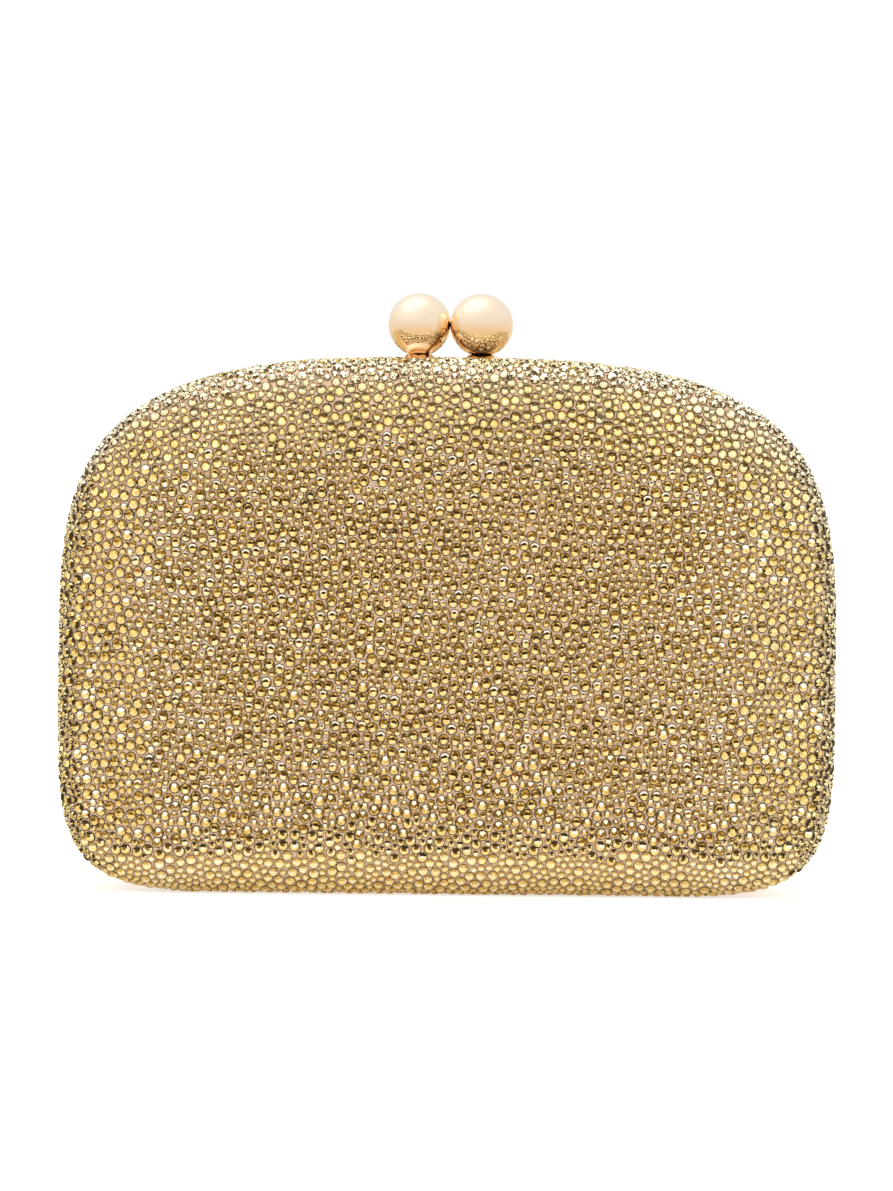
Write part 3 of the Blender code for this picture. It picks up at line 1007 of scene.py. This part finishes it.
def makeFrame(half, side):
    # A flat band round the parting plane and a lip over the lining's edge, let in for the hinge
    ring = frameRing
    low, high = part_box(f"{half}_frame")
    inner, outer = sorted((abs(low.y), abs(high.y)))
    back = outer - ring["lipReach"]
    recess, innerEdge, over = low.z, ring["innerEdge"], ring["overrun"]
    band = outlineBand(f"{half}_frame_ring", recess, side * inner, side * back, innerEdge - recess)
    lip = outlineBand(
        f"{half}_lip",
        innerEdge - ring["lipThickness"],
        side * (back - ring["lipRoot"]),
        side * outer,
        ring["lipThickness"],
    )
    cutWith(band, lip, "UNION")
    rounded(band, ring["edgeRounding"], 60)
    pinLow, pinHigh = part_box("hinge_pin")
    leafLow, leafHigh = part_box(f"{half}_hinge_leaf")
    axis = (pinLow.z + pinHigh.z) / 2
    grooveRadius = axis - leafLow.z + ring["grooveClearance"]
    cutWith(band, rodAt(grooveRadius, (pinLow.x - 2 * seatGap, 0, axis), (pinHigh.x + 2 * seatGap, 0, axis)))
    # The parting edges are eased along the whole base, so that they pass each other
    reach = float(reachAt(axis, recess))
    cutWith(band, rodAt(axis - recess + seatGap, (-reach, 0, axis), (reach, 0, axis)))
    depths = sorted((-side * over, side * ring["rebateDepth"]))
    corner = (leafHigh.x + seatGap, depths[1], innerEdge + over)
    cutWith(band, boxAt((leafLow.x - seatGap, depths[0], axis), corner))
    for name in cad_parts:
        if name.startswith(f"{half}_leaf_rivet"):
            rivetLow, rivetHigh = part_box(name)
            x, z = (rivetLow.x + rivetHigh.x) / 2, (rivetLow.z + rivetHigh.z) / 2
            radius = (rivetHigh.z - rivetLow.z) / 2 + ring["holeClearance"]
            cutWith(band, rodAt(radius, (x, 0, z), (x, side * (back + over), z), ring["holeSides"]))
    nutLow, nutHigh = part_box("left_ball_nut" if side < 0 else "right_ball_nut")
    x, y = (nutLow.x + nutHigh.x) / 2, (nutLow.y + nutHigh.y) / 2
    bore = rodAt(kissLock["studRadius"] + seatGap, (x, y, nutLow.z), (x, y, high.z + over))
    cutWith(band, bore)
    smoothed(band, 30)
    finished(band, platedBrass, f"{half}_half", "plated_brass", f"{half}_frame")


makeFrame("front", -1)
makeFrame("rear", 1)
print("frames made")

# Linings
lining = {"under": 0.0042, "thickness": 0.0015, "columns": 192, "rows": 24, "fill": 0.9}


def makeLining(half, side):
    under, thickness = lining["under"], lining["thickness"]
    piece, surface = skin(
        f"{half}_padded_lining", side, lining["columns"], lining["rows"], under, thickness
    )
    bpy.data.meshes.remove(surface)
    finished(piece, liningKid, f"{half}_half", "lining_leather", f"{half}_lining")


makeLining("front", -1)
makeLining("rear", 1)
print("linings made")

# Slip pocket on the rear lining, with a welt along its mouth and sewn seams
pocket = {
    "thickness": 0.0008,
    "weltThickness": 0.0008,
    "weltRounding": 0.00025,
    "seamInset": 0.0016,         # from the pocket's edge to its seam
    "stitchLength": 0.0024,
    "stitchPitch": 0.0033,
    "stitchSegments": 12,
    "stitchRings": 8,
    "threadRadius": 0.00022,
    "threadSunk": 0.00006,
}


def patchOf(name, under, thickness, low, high):
    # A piece of skin this far under the stones' tops, cut to the box
    piece, surface = skin(name, 1, lining["columns"], lining["rows"], under, thickness)
    bpy.data.meshes.remove(surface)
    cutWith(piece, boxAt(low, high), "INTERSECT")
    piece.name = piece.data.name = name
    return piece


def stitched(name, piece, runs):
    # Stitches along straight runs seen from the front, lying on the side of the piece that faces forwards
    nearest = surfaceOf(piece.data)[3]
    places, turns = [], []
    for start, end in runs:
        start, end = np.array(start), np.array(end)
        length = np.linalg.norm(end - start)
        count = max(1, round(length / pocket["stitchPitch"]))
        for index in range(count):
            x, z = start + (end - start) * (index + 0.5) / count
            spot, normal, _, _ = nearest.ray_cast(Vector((x, 0, z)), Vector((0, 1, 0)))
            along = Vector(((end - start)[0], 0, (end - start)[1]))
            along = (along - normal * along.dot(normal)).normalized()
            places.append(spot + normal * (pocket["threadRadius"] - pocket["threadSunk"]))
            turns.append([along, normal.cross(along), normal])
    segments, rings = pocket["stitchSegments"], pocket["stitchRings"]
    lying = (0, math.pi / 2, 0)
    bpy.ops.mesh.primitive_uv_sphere_add(segments=segments, ring_count=rings, radius=1, rotation=lying)
    model = settled()
    half = pocket["stitchLength"] / 2
    sizes = np.array([[half, pocket["threadRadius"], pocket["threadRadius"]]] * len(places))
    made = copied(name, model.data, np.array(places), np.array(turns), sizes)
    bpy.data.objects.remove(model)
    smoothed(made, 60)
    return finished(made, waxedThread, "rear_half", "lining_leather")


def makePocket():
    low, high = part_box("rear_pocket")
    weltLow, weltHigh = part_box("pocket_welt")
    under = lining["under"] + lining["thickness"] + seatGap
    patch = patchOf("slip_pocket", under, pocket["thickness"], low, high)
    finished(patch, liningKid, "rear_half", "lining_leather", "rear_pocket")
    under += pocket["thickness"] + seatGap
    welt = patchOf("mouth_welt", under, pocket["weltThickness"], weltLow, weltHigh)
    rounded(welt, pocket["weltRounding"])
    smoothed(welt)
    finished(welt, liningKid, "rear_half", "lining_leather", "pocket_welt")
    inset = pocket["seamInset"]
    left, right, bottom = low.x + inset, high.x - inset, low.z + inset
    top, middle = weltLow.z - seatGap, (weltLow.z + weltHigh.z) / 2
    corners = [(left, top), (left, bottom), (right, bottom), (right, top)]
    seams = stitched("pocket_seams", patch, list(zip(corners, corners[1:])))
    weltSeam = stitched("welt_seam", welt, [((left, middle), (right, middle))])


makePocket()
print("pocket made")

# Side gussets: thin kid folded in pleats between the two frames
gusset = {
    "legs": 8,                   # legs of the pleats, across the thickness of the clutch
    "slantShare": 0.56,          # of the depth taken up by the legs' slant, and the rest by the bends
    "thickness": 0.00025,
    "foldLow": 0.002,            # depth of the pleats at the bottom
    "foldHigh": 0.008,           # and at the top
    "rows": 24,
    "bendSteps": 4,
    "legSteps": 3,
}


def pleatPath():
    # The pleats seen from above: shares of the fold's depth inwards, and of the whole depth across
    legs, slant = gusset["legs"], gusset["slantShare"] / gusset["legs"]
    bend = (1 - gusset["slantShare"]) / (legs - 1)
    path, y = [], 0.0
    for leg in range(legs):
        start = leg % 2
        for step in range(gusset["legSteps"] + 1):
            share = step / gusset["legSteps"]
            path.append((start + (1 - 2 * start) * share, y + slant * share, 0.0))
        y += slant
        if leg < legs - 1:
            for step in range(1, gusset["bendSteps"]):
                turn = step / gusset["bendSteps"] * math.pi
                swing = math.sin(turn) * (1 - 2 * start)
                path.append((1 - start, y + bend * (1 - math.cos(turn)) / 2, swing))
            y += bend
    return path, bend


def makeGusset(name, side):
    low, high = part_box(name)
    path, bend = pleatPath()
    depth = high.y - low.y - gusset["thickness"]
    bulge = bend * depth / 2
    bpy.ops.mesh.primitive_grid_add(x_subdivisions=len(path) - 1, y_subdivisions=gusset["rows"], size=1)
    piece = bpy.context.object
    piece.name = piece.data.name = f"{name}_pleats"
    inset = frameRing["innerEdge"] + seatGap
    for vertex in piece.data.vertices:
        inwards, across, swing = path[round((vertex.co.x + 0.5) * (len(path) - 1))]
        share = vertex.co.y + 0.5
        z = low.z + (high.z - low.z) * share
        fold = gusset["foldLow"] + (gusset["foldHigh"] - gusset["foldLow"]) * share
        run = fold - gusset["thickness"] - 2 * bulge
        x = float(reachAt(z, inset)) - gusset["thickness"] / 2 - bulge - run * inwards - bulge * swing
        vertex.co = (side * x, (across - 0.5) * depth, z)
    applied(piece, "SOLIDIFY", thickness=gusset["thickness"], offset=0)
    tidied(piece)
    smoothed(piece, 60)
    finished(piece, liningKid, None, "lining_leather", name)
    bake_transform(piece)


makeGusset("left_gusset", -1)
makeGusset("right_gusset", 1)
print("gussets made")

# CAD nodes that keep their shape
for name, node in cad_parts.items():
    for words, finish in (
        (("shell",), mouldedShell),
        (("hinge_leaf",), platedBrass),
        (("hinge_pin", "rivet", "nut"), platedSteel),
    ):
        if any(word in name for word in words):
            dressed(node, finish)

# Floor, light and camera
studio = {
    "floorSize": 8.0,
    "floorColour": (240, 239, 238),
    "floorGlow": 0.62,           # lifts the floor to white for the camera, and leaves the shadow
    "ambient": 0.62,             # of the world on matt surfaces
    "plainSky": (255, 255, 255), # what the camera and matt surfaces see
    "lowSky": (242, 214, 172),   # what polished metal mirrors below the horizon
    "highSky": (248, 251, 255),  # and overhead
    "skySpan": (-0.65, 0.55),    # heights of the direction between which the one turns into the other
    "glowWay": (-0.30, 0.0, 0.95),
    # The soft light: what it adds, and the cosines of the angle from its middle where it ends and peaks
    "glow": (0.15, 0.30, 1.0),
    "glowCore": (0.42, 0.74, 1.0),
}


def mixed(tree, share, low, high, isColour=False):
    # From low to high as the share goes from 0 to 1, each a number, a colour or a socket
    if isColour:
        low, high = ((*linear(end), 1.0) if isinstance(end, tuple) else end for end in (low, high))
    kind, first, result = ("RGBA", 6, 2) if isColour else ("FLOAT", 2, 0)
    mix = addNode(tree, "ShaderNodeMix", {0: share, first: low, first + 1: high}, data_type=kind)
    return mix.outputs[result]


def eased(tree, value, start, end, top=1.0):
    # Climbs smoothly from 0 to the top as the value goes from the start to the end
    inputs = {"Value": value, "From Min": start, "From Max": end, "To Max": top}
    return addNode(tree, "ShaderNodeMapRange", inputs, interpolation_type="SMOOTHSTEP").outputs["Result"]


def makeFloor():
    bpy.ops.mesh.primitive_plane_add(size=studio["floorSize"], location=(0, 0, coverLow.z))
    floor = bpy.context.object
    floor.name = "floor"
    made, tree, shader = newMaterial("paleFloor", studio["floorColour"], 0.8)
    seen = addNode(tree, "ShaderNodeLightPath").outputs["Is Camera Ray"]
    glow = addNode(tree, "ShaderNodeMath", {0: seen, 1: studio["floorGlow"]}, operation="MULTIPLY")
    shader.inputs["Emission Color"].default_value = (1, 1, 1, 1)
    tree.links.new(glow.outputs["Value"], shader.inputs["Emission Strength"])
    floor.data.materials.append(made)
    # The sky's lower half stands for it in polished metal, so that no line parts the two
    floor.visible_glossy = False


def makeWorld():
    # White for the camera, a soft gradient with one broad light in polished metal, even light elsewhere
    world = bpy.data.worlds.new("studio")
    bpy.context.scene.world = world
    world.use_nodes = True
    tree = world.node_tree
    background = tree.nodes["Background"]
    way = addNode(tree, "ShaderNodeTexCoord").outputs["Generated"]
    height = addNode(tree, "ShaderNodeSeparateXYZ", {"Vector": way}).outputs["Z"]
    climb = eased(tree, height, *studio["skySpan"])
    sky = mixed(tree, climb, studio["lowSky"], studio["highSky"], isColour=True)
    aim = Vector(studio["glowWay"]).normalized()
    towards = addNode(tree, "ShaderNodeVectorMath", {0: way, 1: aim}, operation="DOT_PRODUCT")
    glow = 1.0
    for added, edge, middle in (studio["glow"], studio["glowCore"]):
        patch = eased(tree, towards.outputs["Value"], edge, middle, added)
        glow = addNode(tree, "ShaderNodeMath", {0: patch, 1: glow}, operation="ADD").outputs["Value"]
    path = addNode(tree, "ShaderNodeLightPath").outputs
    colour = mixed(tree, path["Is Glossy Ray"], studio["plainSky"], sky, isColour=True)
    tree.links.new(colour, background.inputs["Color"])
    strength = mixed(tree, path["Is Glossy Ray"], studio["ambient"], glow)
    strength = mixed(tree, path["Is Transmission Ray"], strength, 1.0)
    strength = mixed(tree, path["Is Camera Ray"], strength, 1.0)
    tree.links.new(strength, background.inputs["Strength"])


lampAim = (0.0, 0.0, 0.06)
lamps = {
    # Place, size and watts of each soft lamp
    "overhead": ((0.0, -0.05, 1.1), (1.0, 0.6), 13.0),
    "leftFront": ((-0.9, -1.1, 0.45), (0.5, 0.9), 4.5),
    "rightFront": ((0.9, -1.1, 0.35), (0.5, 0.9), 5.5),
}


def makeLamps():
    # The lamps light the matt surfaces, and the world stands for them in polished metal
    for name, (place, size, watts) in lamps.items():
        data = bpy.data.lights.new(name, "AREA")
        data.shape = "RECTANGLE"
        data.size, data.size_y = size
        data.energy = watts
        lamp = linked(bpy.data.objects.new(name, data))
        lamp.location = place
        lamp.rotation_euler = (Vector(lampAim) - Vector(place)).to_track_quat("-Z", "Y").to_euler()
        lamp.visible_glossy = False


view = {
    "target": (-0.0003, 0.0, 0.0678),
    "distance": 1.6,
    "farthest": 20.0,            # distance that the camera still shows
    "elevation": 2.6,            # in degrees, as the roll
    "roll": 0.61,
    "frameHeight": 0.2732,       # how much of the object's plane the picture takes in
    "sensor": 36.0,
}


def makeCamera():
    data = bpy.data.cameras.new("camera")
    data.sensor_fit = "VERTICAL"
    data.sensor_height = view["sensor"]
    data.lens = view["sensor"] * view["distance"] / view["frameHeight"]
    data.clip_end = view["farthest"]
    camera = linked(bpy.data.objects.new("camera", data))
    tilt = math.radians(view["elevation"])
    target = Vector(view["target"])
    camera.location = target + Vector((0, -math.cos(tilt), math.sin(tilt))) * view["distance"]
    look = (target - camera.location).to_track_quat("-Z", "Y").to_matrix()
    roll = Matrix.Rotation(math.radians(view["roll"]), 3, "Z")
    camera.rotation_euler = (look @ roll).to_euler()
    bpy.context.scene.camera = camera


makeFloor()
makeWorld()
makeLamps()
makeCamera()
bpy.context.scene.view_settings.view_transform = "Standard"
print("studio made")
